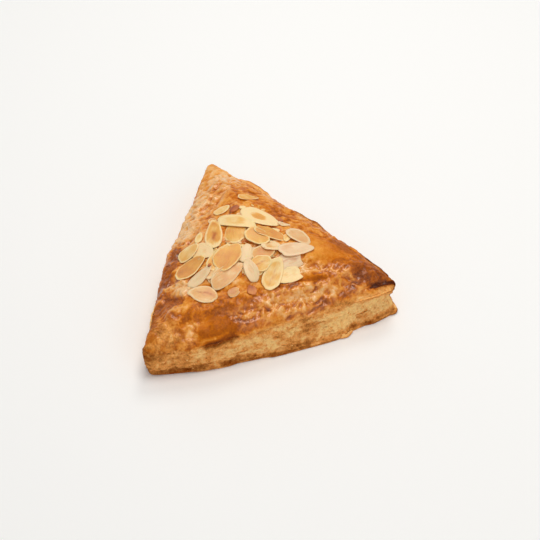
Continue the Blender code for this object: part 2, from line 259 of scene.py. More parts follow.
def number_prop(name, description, default, **options):
    return FloatProperty(name=name, description=description, default=default, **options)


def whole_prop(name, description, default, **options):
    return IntProperty(name=name, description=description, default=default, **options)


def size_prop(name, description, default):
    return number_prop(name, description, default, unit="LENGTH", min=0.0, precision=5)


class PastryBodySizes(bpy.types.PropertyGroup):
    """Sizes of the pastry body"""
    points_per_side: whole_prop("Points per side", "Mesh points along each side of the crust",
                                256, min=48, max=264)
    side_rings: whole_prop("Side rings", "Mesh rings from the foot to the rim", 64, min=16, max=72)
    crown: size_prop("Crown", "Height of the crust's crown without almonds", 0.037)
    leaf_pitch: size_prop("Leaf pitch", "Height of one puffed leaf of the sides", 0.0019)
    leaf_reach: size_prop("Leaf reach", "How far single leaves stand in and out", 0.0005)
    crevice: size_prop("Crevice", "Depth between two leaves", 0.00048)
    lump: size_prop("Lump", "How far the sides bulge unevenly", 0.0009)
    hole: size_prop("Hole", "Depth of the open pores of the sides", 0.0006)
    wrinkle: size_prop("Wrinkle", "Height of the wrinkles of the glazed crust", 0.0007)
    flake_step: size_prop("Flake step", "Half the step between patches of the crust that flaked", 0.00015)
    bump: size_prop("Bump", "Height of the soft bumps of the crust", 0.0009)


class PastryTones(bpy.types.PropertyGroup):
    """Colours of the baked dough"""
    pale: colour_prop("Pale glaze", "Crust that is baked least", 246, 195, 134)
    golden: colour_prop("Golden", "Crust that is baked lightly", 235, 156, 62)
    amber: colour_prop("Amber", "Crust that is baked well", 205, 111, 10)
    brown: colour_prop("Brown", "Crust that is baked dark", 151, 73, 10)
    burnt: colour_prop("Burnt", "Edges that caught", 78, 26, 4)
    leaf_pale: colour_prop("Pale leaves", "Inner leaves of the sides", 253, 205, 132)
    leaf_tan: colour_prop("Tan leaves", "Leaves that dried at the sides", 232, 156, 80)
    leaf_brown: colour_prop("Brown leaves", "Edge of the bottom crust", 170, 106, 46)
    glaze_roughness: number_prop("Glaze roughness", "Roughness of the glazed crust", 0.28, min=0.05, max=1.0)


class AlmondLooks(bpy.types.PropertyGroup):
    """Sizes and colours of the flaked almonds"""
    thickness: size_prop("Thickness", "Thickness of a flake", 0.00065)
    points_round: whole_prop("Points round", "Mesh points round one flake", 44, min=12, max=96)
    cream: colour_prop("Cream", "Flakes that kept their colour", 252, 218, 160)
    straw: colour_prop("Straw", "Flakes that are lightly toasted", 235, 167, 66)
    toasted: colour_prop("Toasted", "Cores that toasted", 218, 132, 46)
    scorched: colour_prop("Scorched", "Spots that toasted dark", 186, 94, 30)
    rosy: colour_prop("Rosy", "Cool tone of flakes that lost their glaze", 228, 192, 166)
    yellow: colour_prop("Yellow", "Warm tone of flakes that soaked up glaze", 250, 214, 132)
    skin: colour_prop("Skin", "Bits of brown skin", 134, 68, 34)
    chips: whole_prop("Chips", "Small broken flakes that are tried for", 170, min=0)
    seed: whole_prop("Seed", "Seed of the places of the small broken flakes", 3, min=0)


class CrumbLooks(bpy.types.PropertyGroup):
    """Flecks of dough at the sides and bits of nut on the crown"""
    flecks_per_area: number_prop("Flecks per square metre", "How densely the sides shed flecks",
                                 60000.0, min=0.0)
    fleck_size: size_prop("Fleck size", "Length of a usual fleck of dough", 0.0013)
    bits_per_area: number_prop("Bits per square metre", "How densely bits of nut are strewn",
                               60000.0, min=0.0)
    bit_size: size_prop("Bit size", "Length of a usual bit of nut", 0.0026)
    seed: whole_prop("Seed", "Seed of the places of flecks and bits", 5, min=0)


class StageLooks(bpy.types.PropertyGroup):
    """Floor, lights and camera"""
    floor: colour_prop("Floor", "Colour of the floor", 250, 250, 250)
    key_power: number_prop("Key light", "Power of the soft light overhead", 4.0, unit="POWER", min=0.0)
    fill_power: number_prop("Fill light", "Power of the soft light in front", 2.0, unit="POWER", min=0.0)
    surround: number_prop("Surround", "Brightness of the white surround", 0.39, min=0.0)
    azimuth: number_prop("Azimuth", "Where the camera stands round the pastry, from the front",
                         np.radians(-19.0), unit="ROTATION")
    elevation: number_prop("Elevation", "How high the camera looks down from",
                           np.radians(47.0), unit="ROTATION")
    distance: size_prop("Distance", "From the camera to the point that it looks at", 0.70)
    lens: number_prop("Lens", "Focal length in millimetres", 85.0, min=10.0)


# Shape of the pastry

def rounded(points, radius):
    """A closed outline with its corners softened over this radius."""
    place = points[:, 0] + 1j * points[:, 1]
    spacing = np.abs(np.roll(place, -1) - place).mean()
    waves = 2 * np.pi * np.fft.fftfreq(len(place))
    place = np.fft.ifft(np.fft.fft(place) * np.exp(-0.5 * (waves * radius / spacing) ** 2))
    return np.stack([place.real, place.imag], axis=1)


def outline(corners, bow, belly, belly_at, per_side):
    """A plan outline anticlockwise from the front left corner."""
    share = np.arange(per_side) / per_side
    sides = []
    for side in range(3):
        along = corners[(side + 1) % 3] - corners[side]
        outward = np.array([along[1], -along[0]]) / np.hypot(*along)
        swell = bow[side] * 4 * share * (1 - share)
        swell = swell + belly[side] * np.exp(-(((share - belly_at[side]) / BELLY_WIDTH) ** 2))
        sides.append(corners[side] + share[:, None] * along + swell[:, None] * outward)
    return rounded(np.concatenate(sides), CORNER_ROUNDING)


def round_the_rim(values, around):
    """Values given evenly round the outline, read at places round it from 0 to 3."""
    steps = np.linspace(0, 3, len(values) + 1)
    return np.interp(around, steps, np.append(values, values[0]))


def outward_of(points):
    """Unit normals of a closed anticlockwise outline."""
    along = np.roll(points, -1, axis=0) - np.roll(points, 1, axis=0)
    return np.stack([along[:, 1], -along[:, 0]], axis=1) / np.linalg.norm(along, axis=1)[:, None]


def bumps(points, size, seed, basis="PERLIN_ORIGINAL", unit=MM):
    """Smooth noise from about -1 to 1 at each point, with bumps of this size in mm, or in another unit."""
    shifted = points / (np.asarray(size) * unit) + SEED_STEP * seed
    return np.array([noise.noise(place, noise_basis=basis) for place in shifted.tolist()])


def ramp(values, low, high):
    """Smooth step from 0 at low to 1 at high."""
    share = np.clip((values - low) / (high - low), 0, 1)
    return share * share * (3 - 2 * share)


def patches(points, size, seed):
    """Patches of -1 and 1 with short passages between them."""
    return 2 * ramp(bumps(points, size, seed), -0.12, 0.12) - 1


def strokes(plan, table):
    """Sum of the soft strokes of a table at plan points, a little wavy."""
    total = np.zeros(len(plan))
    flat = np.column_stack([plan, np.zeros(len(plan))])
    wave = np.stack([bumps(flat, 5, seed) for seed in (41, 42)], axis=1)
    for *ends, half_width, amount in table:
        start, end = np.array(ends).reshape(2, 2) * MM
        along = end - start
        away = plan + min(1.8, 0.5 * half_width) * MM * wave - start
        share = np.clip(away @ along / (along @ along), 0, 1)
        distance = np.linalg.norm(away - share[:, None] * along, axis=1)
        total += amount * np.exp(-((distance / (half_width * MM)) ** 3))
    return total


def normals_of(points, faces):
    """Unit normals of the points of a triangle mesh."""
    corners = points[faces]
    across = np.cross(corners[:, 1] - corners[:, 0], corners[:, 2] - corners[:, 0])
    total = np.stack([
        sum(np.bincount(faces[:, corner], part, len(points)) for corner in range(3)) for part in across.T
    ], axis=1)
    return total / np.maximum(np.linalg.norm(total, axis=1), 1e-12)[:, None]


class Body:
    """The pastry body as arrays: points, triangles and what the colours need to know."""

    def __init__(self, sizes):
        self.sizes = sizes
        self.per_side = sizes.points_per_side
        self.round = 3 * self.per_side
        self.place_crust()
        self.place_side()
        self.roll_edge()
        self.carve()

    def index(self, a, b):
        """Number of a crust point from two of its whole barycentric weights."""
        return a * (self.per_side + 1) - a * (a - 1) // 2 + b

    def place_crust(self):
        """The triangular lattice of the domed crust."""
        n = self.per_side
        pairs = np.array([(a, b) for a in range(n + 1) for b in range(n + 1 - a)])
        a, b = pairs.T
        c = n - a - b
        weights = np.stack([a, b, c], axis=1) / n
        least = weights.min(axis=1)
        side = np.array([1, 2, 0])[weights.argmin(axis=1)]
        reach = 1 - 3 * least
        step = np.take_along_axis(weights, ((side + 1) % 3)[:, None], axis=1)[:, 0]
        self.around = side + np.where(reach > 0, (step - least) / np.maximum(reach, 1e-9), 0)
        rim = outline(RIM_CORNERS, RIM_BOW, RIM_BELLY, RIM_BELLY_AT, n)
        share = np.arange(n) / n
        rise = (SIDE_RIM_RISE[:, None] * np.sin(np.pi * share) ** RIM_ARCH).ravel()
        self.rim, self.heights = rim, round_the_rim(CORNER_RIM_HEIGHT, np.arange(3 * n) / n) + rise
        edge = np.stack([round_the_rim(rim[:, axis], self.around) for axis in (0, 1)], axis=1)
        rim_height = round_the_rim(self.heights, self.around)
        plan = CENTRE + reach[:, None] * (edge - CENTRE)
        dome = rim_height + (self.sizes.crown - rim_height) * (1 - reach**DOME_POWER)
        height = dome + MM * strokes(plan, RELIEF) * np.clip((1 - reach) / 0.06, 0, 1)
        self.points = np.column_stack([plan, height])
        self.depth = (reach - 1) * DEPTH_TO_CENTRE
        first = (a < n) & (b > 0)
        second = first & (c > 0)
        self.faces = [
            np.stack([self.index(a, b - 1), self.index(a + 1, b - 1), self.index(a, b)], axis=1)[first],
            np.stack([self.index(a + 1, b - 1), self.index(a + 1, b), self.index(a, b)], axis=1)[second],
        ]

    def place_side(self):
        """The rings of the side, from the foot to just below the rim, and their triangles."""
        n, rings = self.per_side, self.sizes.side_rings
        walk = np.arange(n)
        edges = (n - walk, walk), (0 * walk, n - walk), (walk, 0)
        rim_points = np.concatenate([self.index(*edge) for edge in edges])
        base = outline(BASE_CORNERS, BASE_BOW, BASE_BELLY, BASE_BELLY_AT, n)
        outward = outward_of(base)
        around = np.arange(self.round) / n
        waist = round_the_rim(CORNER_WAIST, around)
        rim_lip = round_the_rim(RIM_LIP, around)
        points, depths, arounds = [self.points], [self.depth], [self.around]
        for ring in range(rings):
            share = ring / rings
            lips = LIP * np.exp(-((share - 0.07) / 0.07) ** 2)
            lips = lips + rim_lip * np.exp(-((share - 0.93) / 0.06) ** 2)
            stand = lips - waist * np.sin(np.pi * share) ** 2
            plan = base * (1 - share) + self.rim * share + np.asarray(stand)[:, None] * outward
            if ring == 0:
                plan = base - FOOT_RADIUS * outward
            points.append(np.column_stack([plan, self.heights * share]))
            depths.append(self.heights * (1 - share))
            arounds.append(around)
        first_ring = len(self.points)
        rows = [*(first_ring + np.arange(rings * self.round).reshape(rings, -1)), rim_points]
        for lower, upper in zip(rows, rows[1:]):
            lower_next, upper_next = np.roll(lower, -1), np.roll(upper, -1)
            self.faces.append(np.stack([lower, lower_next, upper_next], axis=1))
            self.faces.append(np.stack([lower, upper_next, upper], axis=1))
        self.faces = np.concatenate(self.faces)
        self.foot = rows[0]
        self.points = np.concatenate(points)
        self.depth = np.concatenate(depths)
        self.around = np.concatenate(arounds)
        self.outward = np.stack([round_the_rim(outward[:, axis], self.around) for axis in (0, 1)], axis=1)
        self.height_share = self.points[:, 2] / round_the_rim(self.heights, self.around)

    def roll_edge(self):
        """Rounds the edge where the crust turns into the side."""
        radius = round_the_rim(ROLL, self.around)
        turn = (np.sqrt(self.depth**2 + radius**2) - np.abs(self.depth)) / 2
        turn *= 1 - ramp(self.depth, 8 * MM, 14 * MM)
        turn -= 0.6 * radius * np.exp(-((self.depth / (9 * MM)) ** 2))
        inward = -0.75 * self.outward * turn[:, None]
        self.points += np.column_stack([inward, -0.34 * turn])

    def carve(self):
        """Wrinkles and bumps of the crust and the leaves of the side, and the masks for the colours."""
        sizes, points, depth = self.sizes, self.points, self.depth
        place = np.column_stack([((self.around + 1.5) % 3 - 1.5) * SIDE_LENGTH, points[:, 2]])
        dents = MM * strokes(place, SIDE_RELIEF) * (depth > 0)
        points[:, :2] += self.outward * dents[:, None]
        normals = normals_of(points, self.faces)
        turn = self.around * 2 * np.pi / 3
        flow = np.column_stack([ROUND_RADIUS * np.cos(turn), ROUND_RADIUS * np.sin(turn), depth])
        on_side = ramp(depth, -0.5 * MM, 2.5 * MM)
        rough = np.clip(USUAL_CRINKLE + strokes(points[:, :2], CRINKLES), 0.05, 1.4)
        self.rough = rough
        swell = bumps(points, 14, 3)
        puffs = np.abs(bumps(points + 2 * MM * bumps(points, 9, 5)[:, None], 8, 4)) ** 0.7
        warp = 2.6 * MM * bumps(points, 7, 5)
        folded = points + warp[:, None] * np.array([0.6, 1.0, 0.4])
        near_edge = 0.25 + 0.75 * ramp(depth, -26 * MM, -12 * MM)
        fold = 1 - 2.6 * np.abs(bumps(folded, (9, 5, 6), 6))
        ridges = 1 - 3.2 * np.abs(bumps(folded, (4.6, 2.2, 2.6), 31))
        domes = -bumps(folded, (2.4, 1.6, 1.8), 7, "VORONOI_F1")
        wrinkle = rough * (0.5 * fold * near_edge + 0.3 * domes + 0.7 * ridges)
        flaked = np.clip(rough / 0.25 - 0.2, 0.25, 1)
        large = flaked * patches(folded, (5.2, 3.2, 3.6), 18)
        small = flaked * patches(folded, (2, 1.4, 1.6), 19)
        puffed = (0.4 + 0.6 * np.minimum(rough, 1)) * (1.6 * puffs - 0.6)
        crust = sizes.bump * (swell + puffed) + sizes.wrinkle * wrinkle
        crust -= sizes.flake_step * (large + 0.6 * small)

        height = points[:, 2]
        wander = 1.8 * bumps(flow, (34, 34, 11), 10) + 1.2 * bumps(flow, (10, 10, 6), 11)
        layer = height / sizes.leaf_pitch + wander
        leaf = np.floor(layer)
        within = layer - leaf
        leaf_place = flow.copy()
        leaf_place[:, 2] = leaf * 7.7 * MM
        tongue = bumps(leaf_place, (12, 12, 1), 12) + 0.6 * bumps(leaf_place, (4, 4, 1), 13)
        edge = np.sin(np.pi * within) ** 0.45
        splitting = round_the_rim(SPLITTING, self.around)
        split = ramp(bumps(flow, (7, 7, 4), 23), -0.2, 0.4) * splitting
        tongue *= 0.3 + 0.7 * splitting
        lumps = bumps(flow, (7, 7, 4), 25) + 0.6 * bumps(flow, (3, 3, 2.4), 26)
        holes = ramp(bumps(points, 1.7, 14) + 0.5 * bumps(points, 0.9, 15), 0.12, 0.5)
        shelf = sizes.leaf_reach * tongue * edge * (0.4 + 0.6 * split) - sizes.crevice * (1 - edge) * split
        shelf += sizes.lump * lumps - sizes.hole * holes + 0.25 * MM * bumps(points, 1.2, 27) - 0.4 * MM
        fade = ramp(height, 0.3 * MM, 2.0 * MM)
        lift = crust * (1 - on_side) + shelf * on_side * fade
        self.points = points + normals * lift[:, None]
        self.points[self.foot, 2] = 0.0
        self.points = np.clip(self.points, CAD_BOX[0] + BOX_MIDDLE, CAD_BOX[1] + BOX_MIDDLE)

        drips = 2.2 * bumps(flow, (9, 9, 90), 16) + bumps(flow, (3, 3, 40), 24)
        self.side = ramp(depth - (round_the_rim(GLAZE_REACH, self.around) + drips) * MM, -0.6 * MM, 1.8 * MM)
        dry = strokes(points[:, :2], DRY) * np.clip(patches(folded, 3, 35), 0.4, 1)
        self.side = np.clip(self.side + dry, 0, 1)
        mottle = 0.14 * bumps(points, 13, 17) + 0.08 * large + 0.055 * small
        mottle += 0.05 * flaked * bumps(folded, (5, 3, 3), 33, "CELLNOISE")
        # Wrinkle tops are paler and their valleys darker: partly flaked pale tops, partly painted highlight
        # and shade
        crust_bake = 0.55 + mottle + strokes(points[:, :2], TONES) - 0.24 * wrinkle - 0.08 * (puffs - 0.4)
        crust_bake -= 0.75 * np.maximum(crust_bake - DARK_CRUST, 0)
        top_edge = 0.10 * (1 - ramp(depth, 1 * MM, 7 * MM))
        bottom_edge = 0.20 * (1 - ramp(height / MM + 3 * bumps(flow, (8, 8, 1), 20), 0.6, 3.6))
        side_bake = 0.25 + 0.07 * tongue * edge + 0.15 * lumps + 0.20 * bumps(flow, (9, 9, 4), 21)
        side_bake += 0.05 * patches(flow, (3.4, 3.4, 2), 22)
        # The pores are baked a little darker as painted shade
        side_bake += np.maximum(top_edge, bottom_edge) + strokes(place, SIDE_TONES) + 0.04 * holes
        bake = crust_bake * (1 - self.side) + np.minimum(side_bake, DARKEST_SIDE) * self.side
        self.bake = np.clip(bake + strokes(points[:, :2], BURNT_AND_CREASE_SHADE), 0, 1)
        # Painted shade: how much the side's colour is darkened in the crevices between leaves and in the
        # pores
        self.crevice = np.maximum((1 - edge) * split, 0.4 * holes) * on_side * fade


# Meshes, pieces and materials

def link(obj):
    bpy.context.scene.collection.objects.link(obj)
    return obj


def boxed(points):
    """Points kept inside the box of the packed part."""
    return np.clip(points, CAD_BOX[0], CAD_BOX[1])


def piece(name, points, faces, attributes, material):
    """A finished piece on the packed body, in place of the pastry's solid."""
    mesh = bpy.data.meshes.new(name)
    mesh.from_pydata(boxed(points - BOX_MIDDLE).tolist(), [], [tuple(face) for face in faces])
    for key, values in attributes.items():
        vector = np.ndim(values) == 2
        layer = mesh.attributes.new(key, "FLOAT_VECTOR" if vector else "FLOAT", "POINT")
        layer.data.foreach_set("vector" if vector else "value", np.ravel(values).astype(np.float32))
    mesh.shade_smooth()
    mesh.materials.append(material)
    return ridden(link(bpy.data.objects.new(name, mesh)))


def ridden(obj):
    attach(obj, "root")
    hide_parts("pastry")
    return obj


class Nodes:
    """Adds nodes to one tree, each with its settings and inputs in one call."""

    def __init__(self, tree):
        self.tree = tree

    def feed(self, node, inputs):
        """Links or sets the sockets of a node."""
        for name, value in inputs.items():
            if isinstance(value, bpy.types.NodeSocket):
                self.tree.links.new(value, node.inputs[name])
            else:
                node.inputs[name].default_value = value
        return node

    def add(self, kind, inputs=None, **settings):
        made = self.tree.nodes.new(kind)
        for name, value in settings.items():
            setattr(made, name, value)
        return self.feed(made, inputs or {})

    def math(self, operation, first, second, clamp=False):
        made = self.add("ShaderNodeMath", {0: first, 1: second}, operation=operation, use_clamp=clamp)
        return made.outputs[0]

    def plus(self, first, second):
        return self.math("ADD", first, second)

    def times(self, first, second, clamp=False):
        return self.math("MULTIPLY", first, second, clamp)

    def mix(self, share, first, second, blend="MIX"):
        made = self.add("ShaderNodeMix", data_type="RGBA", blend_type=blend, clamp_factor=True)
        return self.feed(made, {0: share, 6: first, 7: second}).outputs[2]

    def mix_values(self, share, first, second):
        return self.add("ShaderNodeMix", {0: share, 2: first, 3: second}, data_type="FLOAT").outputs[0]

    def between(self, value, low, high, new_low=0.0, new_high=1.0, kind="SMOOTHSTEP"):
        inputs = {"Value": value, "From Min": low, "From Max": high, "To Min": new_low, "To Max": new_high}
        return self.add("ShaderNodeMapRange", inputs, interpolation_type=kind).outputs["Result"]

    def attribute(self, name, output="Fac"):
        return self.add("ShaderNodeAttribute", attribute_name=name).outputs[output]

    def group(self, name, inputs):
        return self.add("ShaderNodeGroup", inputs, node_tree=shader_group(name)).outputs[0]

    def toasted(self, toast, *colours):
        return self.group("toasting", {"Toast": toast, **dict(zip(TONE_NAMES, colours))})

    def random(self, low, high, seed):
        inputs = {2: low, 3: high, "Seed": seed}
        return self.add("FunctionNodeRandomValue", inputs, data_type="FLOAT").outputs[1]

    def bump(self, height, strength, distance):
        inputs = {"Height": height, "Strength": strength, "Distance": distance}
        return self.add("ShaderNodeBump", inputs).outputs["Normal"]


def new_tree(name, tree_kind, inputs, output, output_kind):
    """An empty node tree with these sockets: its nodes and its input sockets."""
    tree = bpy.data.node_groups.new(name, tree_kind)
    for label, kind in inputs.items():
        tree.interface.new_socket(label, in_out="INPUT", socket_type="NodeSocket" + kind)
    tree.interface.new_socket(output, in_out="OUTPUT", socket_type="NodeSocket" + output_kind)
    nodes = Nodes(tree)
    return nodes, nodes.add("NodeGroupInput").outputs


TONE_NAMES = ("Pale", "Golden", "Amber", "Brown", "Burnt")
TONE_LIMITS = (0.08, 0.36, 0.60, 0.82, 1.0)


def toasting(nodes, given):
    """Colour of dough or nut from how toasted it is: five tones from pale to burnt."""
    colour = given["Pale"]
    for name, low, high in zip(TONE_NAMES[1:], TONE_LIMITS, TONE_LIMITS[1:]):
        colour = nodes.mix(nodes.between(given["Toast"], low, high, kind="LINEAR"), colour, given[name])
    return colour


def mottle(nodes, given):
    """Uneven browning from -1 to 1, with spots of a given size."""
    scale = nodes.math("DIVIDE", 1.0, given["Size"])
    inputs = {"Vector": given["Vector"], "Scale": scale, "Detail": given["Detail"]}
    spots = nodes.add("ShaderNodeTexNoise", inputs)
    return nodes.between(spots.outputs["Fac"], 0.25, 0.75, -1.0, 1.0, "LINEAR")


def pores(nodes, given):
    """Height of small open pores of a given size, from 0 in the pore to 1 between pores."""
    scale = nodes.math("DIVIDE", 1.0, given["Size"])
    inputs = {"Vector": given["Vector"], "Scale": scale}
    cells = nodes.add("ShaderNodeTexVoronoi", inputs, feature="SMOOTH_F1")
    return nodes.between(cells.outputs["Distance"], 0.1, 0.55, kind="LINEAR")


SHADER_GROUPS = {
    "toasting": (toasting, {"Toast": "Float", **dict.fromkeys(TONE_NAMES, "Color")}, "Colour", "Color"),
    "mottle": (mottle, {"Vector": "Vector", "Size": "Float", "Detail": "Float"}, "Mottle", "Float"),
    "pores": (pores, {"Vector": "Vector", "Size": "Float"}, "Height", "Float"),
}


def shader_group(name):
    """The shader group of this name, made the first time that it is asked for."""
    if name not in bpy.data.node_groups:
        fill, inputs, output, output_kind = SHADER_GROUPS[name]
        nodes, given = new_tree(name, "ShaderNodeTree", inputs, output, output_kind)
        nodes.add("NodeGroupOutput", {0: fill(nodes, given)})
    return bpy.data.node_groups[name]


def new_material(name):
    """An empty material: its nodes and its surface shader."""
    material = bpy.data.materials.new(name)
    material.use_nodes = True
    material.node_tree.nodes.clear()
    nodes = Nodes(material.node_tree)
    shader = nodes.add("ShaderNodeBsdfPrincipled")
    output = nodes.add("ShaderNodeOutputMaterial")
    material.node_tree.links.new(shader.outputs[0], output.inputs["Surface"])
    return material, nodes, shader


def dough_material(name, tones, always_side=False):
    """Glazed crust that turns into pale, dry leaves where the side mask says so."""
    material, nodes, shader = new_material(name)
    place = nodes.add("ShaderNodeTexCoord").outputs["Object"]
    rough = nodes.attribute("rough")
    side = 1.0 if always_side else nodes.attribute("side")
    calm = 1.0 if always_side else nodes.between(rough, 0.05, 0.35, 0.7, 1.0)
    coarse = nodes.group("mottle", {"Vector": place, "Size": 0.0028, "Detail": 3.0})
    fine = nodes.group("mottle", {"Vector": place, "Size": 0.0009, "Detail": 2.0})
    crackle = nodes.times(nodes.group("pores", {"Vector": place, "Size": 0.0014}), rough)
    grain = nodes.times(fine, nodes.between(side, 0.0, 1.0, 0.08, 0.12))
    spots = nodes.plus(nodes.times(coarse, 0.08), grain)
    toast = nodes.plus(nodes.attribute("bake"), nodes.times(spots, calm))
    toast = nodes.plus(toast, nodes.times(crackle, 0.06))
    crust = nodes.toasted(toast, tones.pale, tones.golden, tones.amber, tones.brown, tones.burnt)
    leaves = nodes.toasted(toast, tones.leaf_pale, tones.leaf_tan, tones.leaf_brown, tones.brown, tones.burnt)
    # Crevices and pores of the side are darkened toward the brown of the bottom crust as painted shade
    leaves = nodes.mix(nodes.times(nodes.attribute("crevice"), 0.22), leaves, tones.leaf_brown, "MULTIPLY")
    dry = nodes.times(nodes.between(coarse, -0.2, 0.9), 0.12)
    glaze = nodes.plus(nodes.between(rough, 0.2, 1.0, 0.58, tones.glaze_roughness), dry)
    coat = nodes.times(nodes.math("SUBTRACT", 1.0, side), nodes.between(rough, 0.2, 0.9, 0.05, 1.0))
    relief = nodes.math("SUBTRACT", nodes.times(fine, 0.12), nodes.times(crackle, 0.5))
    height = nodes.mix_values(side, relief, nodes.group("pores", {"Vector": place, "Size": 0.0013}))
    nodes.feed(shader, {
        "Base Color": nodes.mix(side, crust, leaves), "Roughness": nodes.mix_values(side, glaze, 0.82),
        "Coat Weight": coat, "Coat Roughness": 0.22, "Coat IOR": 1.52,
        "Normal": nodes.bump(height, 0.8, 0.0004),
        "IOR": 1.4, "Specular IOR Level": 0.22, "Specular Tint": (1.0, 0.72, 0.45, 1.0),
        "Subsurface Weight": 0.06, "Subsurface Scale": 0.002,
    })
    return material


def almond_material(looks):
    """Flaked almonds: cream rims, toasted cores, fine fibres along the nut and a dark slit in some."""
    material, nodes, shader = new_material("toasted_almond")
    place = nodes.attribute("nut_place", "Vector")
    stretched = nodes.add("ShaderNodeMapping", {"Vector": place, "Scale": (0.22, 1.0, 1.0)}).outputs["Vector"]
    fibres = nodes.group("mottle", {"Vector": stretched, "Size": 0.0007, "Detail": 3.0})
    cloud = nodes.group("mottle", {"Vector": place, "Size": 0.0045, "Detail": 3.0})
    toast = nodes.plus(nodes.attribute("toast"), nodes.times(fibres, 0.07))
    toast = nodes.plus(toast, nodes.times(cloud, 0.10))
    yellow = nodes.attribute("yellow")
    colour = nodes.toasted(toast, looks.cream, looks.straw, looks.toasted, looks.scorched, looks.skin)
    colour = nodes.mix(nodes.times(yellow, -0.5, clamp=True), colour, looks.rosy)
    colour = nodes.mix(nodes.times(yellow, 0.35, clamp=True), colour, looks.yellow)
    colour = nodes.mix(nodes.attribute("slit"), colour, looks.scorched)
    nodes.feed(shader, {
        "Base Color": colour, "Roughness": 0.42, "Normal": nodes.bump(fibres, 0.35, 0.00025), "IOR": 1.45,
        "Coat Weight": 0.18, "Coat Roughness": 0.3, "Subsurface Weight": 0.1, "Subsurface Scale": 0.0015,
    })
    return material


# Flaked almonds

RING_SHARES = (0.18, 0.36, 0.54, 0.70, 0.82, 0.91, 0.965)
FLAKE_TAPER = 0.22
# How much a flake bends to the shape under it
FLAKE_GIVE = 0.7
# Lowest and highest heading, width to length, core toast, square break and yellow of a chip
CHIP_LIMITS = ((0, 0.35, 0.02, 0.4, -1), (360, 0.65, 0.5, 1.2, 1))
# Height from which rays look down on the pile
ABOVE_ALL = 0.1


def flake_points(row, looks, number):
    """One flake, lying flat: plan points and height above its middle plane, with masks, and its triangles."""
    x, y, heading, length, width, core, core_reach, rim, slit, cut, yellow = row
    m = looks.points_round
    turn = 2 * np.pi * np.arange(m) / m
    ring = np.column_stack([np.cos(turn), np.sin(turn), np.full(m, number * 3.7)])
    wobble = 1 + 0.12 * bumps(ring, (0.8, 0.8, 1), 0, unit=1) + 0.05 * bumps(ring, (0.25, 0.25, 1), 1, unit=1)
    along = length / 2 * np.cos(turn) * wobble
    across = width / 2 * np.sin(turn) * (1 - FLAKE_TAPER * np.cos(turn)) * wobble
    along = np.minimum(along, cut * length / 2 + 0.3 * np.sin(5 * turn))
    half = looks.thickness / MM / 2
    shares = [0.0, *RING_SHARES, 1.0, *RING_SHARES[::-2], 0.0]
    top = len(RING_SHARES)
    plan, lift, share_all = [], [], []
    for number_of_ring, share in enumerate(shares):
        side = 1 if number_of_ring <= top else (0 if number_of_ring == top + 1 else -1)
        round_off = np.sqrt(max(0.0, 1 - max(0.0, (share - 0.86) / 0.14) ** 2))
        count = 1 if share == 0.0 else m
        plan.append(np.column_stack([along, across])[:count] * share)
        lift.append(np.full(count, side * half * round_off))
        share_all.append(np.full(count, share))
    faces, start = [], [0]
    for ring in plan:
        start.append(start[-1] + len(ring))
    for lower in range(len(shares) - 1):
        a, b = start[lower], start[lower + 1]
        for i in range(m):
            j = (i + 1) % m
            if len(plan[lower]) == 1:
                faces.append((a, b + i, b + j))
            elif len(plan[lower + 1]) == 1:
                faces.append((a + i, b, a + j))
            else:
                faces += [(a + i, b + i, b + j), (a + i, b + j, a + j)]
    local = np.concatenate(plan)
    lift = np.concatenate(lift)
    share = np.concatenate(share_all)
    seeds = np.column_stack([local / 4.0, np.full(len(local), number * 5.3)])
    uneven = np.array([noise.noise(place) for place in seeds.tolist()])
    edge = ramp(share + 0.08 * uneven, core_reach - 0.05, core_reach + 0.04)
    toast = core * (1 - edge) + (0.6 * rim - 0.08) * edge + 0.20 * uneven
    toast += 0.3 * core * np.exp(-(((share + 0.08 * uneven - core_reach) / 0.05) ** 2))
    away = 2 * local / length
    one, two, three = (noise.noise((number * 1.7, place, 0.5)) for place in (0.3, 5.3, 9.3))
    toast += 0.3 * one * away[:, 0] + 0.2 * two * away[:, 1]
    line = np.exp(-((local[:, 1] + 1.2 * uneven) / (0.35 + 0.6 * slit**8)) ** 2)
    shorter = 0.14 * slit**8
    line *= 1 - ramp(np.abs(local[:, 0] + 0.1 * length) / length, 0.18 - shorter, 0.38 - shorter)
    warp = two * away[:, 0] ** 2 + 2 * three * away[:, 1] ** 2 + one * away[:, 0] * away[:, 1]
    lift = lift + length / 18 * warp
    forward = np.array([np.cos(np.radians(heading)), np.sin(np.radians(heading))])
    sideways = np.array([-forward[1], forward[0]])
    spot = (np.array([x, y]) + local[:, :1] * forward + local[:, 1:] * sideways) * MM
    nut_place = np.column_stack([local, np.full(len(local), number * 40.0)]) * MM
    yellows = np.full(len(local), yellow)
    masks = {"toast": toast, "slit": slit * line, "yellow": yellows, "nut_place": nut_place}
    return spot, lift * MM, share, np.array(faces), masks


def height_under(trees, point):
    """Height of the highest surface at a plan point, or None where there is none."""
    start = Vector((point[0], point[1], ABOVE_ALL))
    hits = [tree.ray_cast(start, Vector((0, 0, -1)))[0] for tree in trees]
    return max((hit.z for hit in hits if hit is not None), default=None)


def plane_terms(away):
    return np.column_stack([np.ones(len(away)), away])


def bend_terms(away):
    return np.column_stack([np.ones(len(away)), away[:, 0] ** 2, away[:, 0] * away[:, 1], away[:, 1] ** 2])


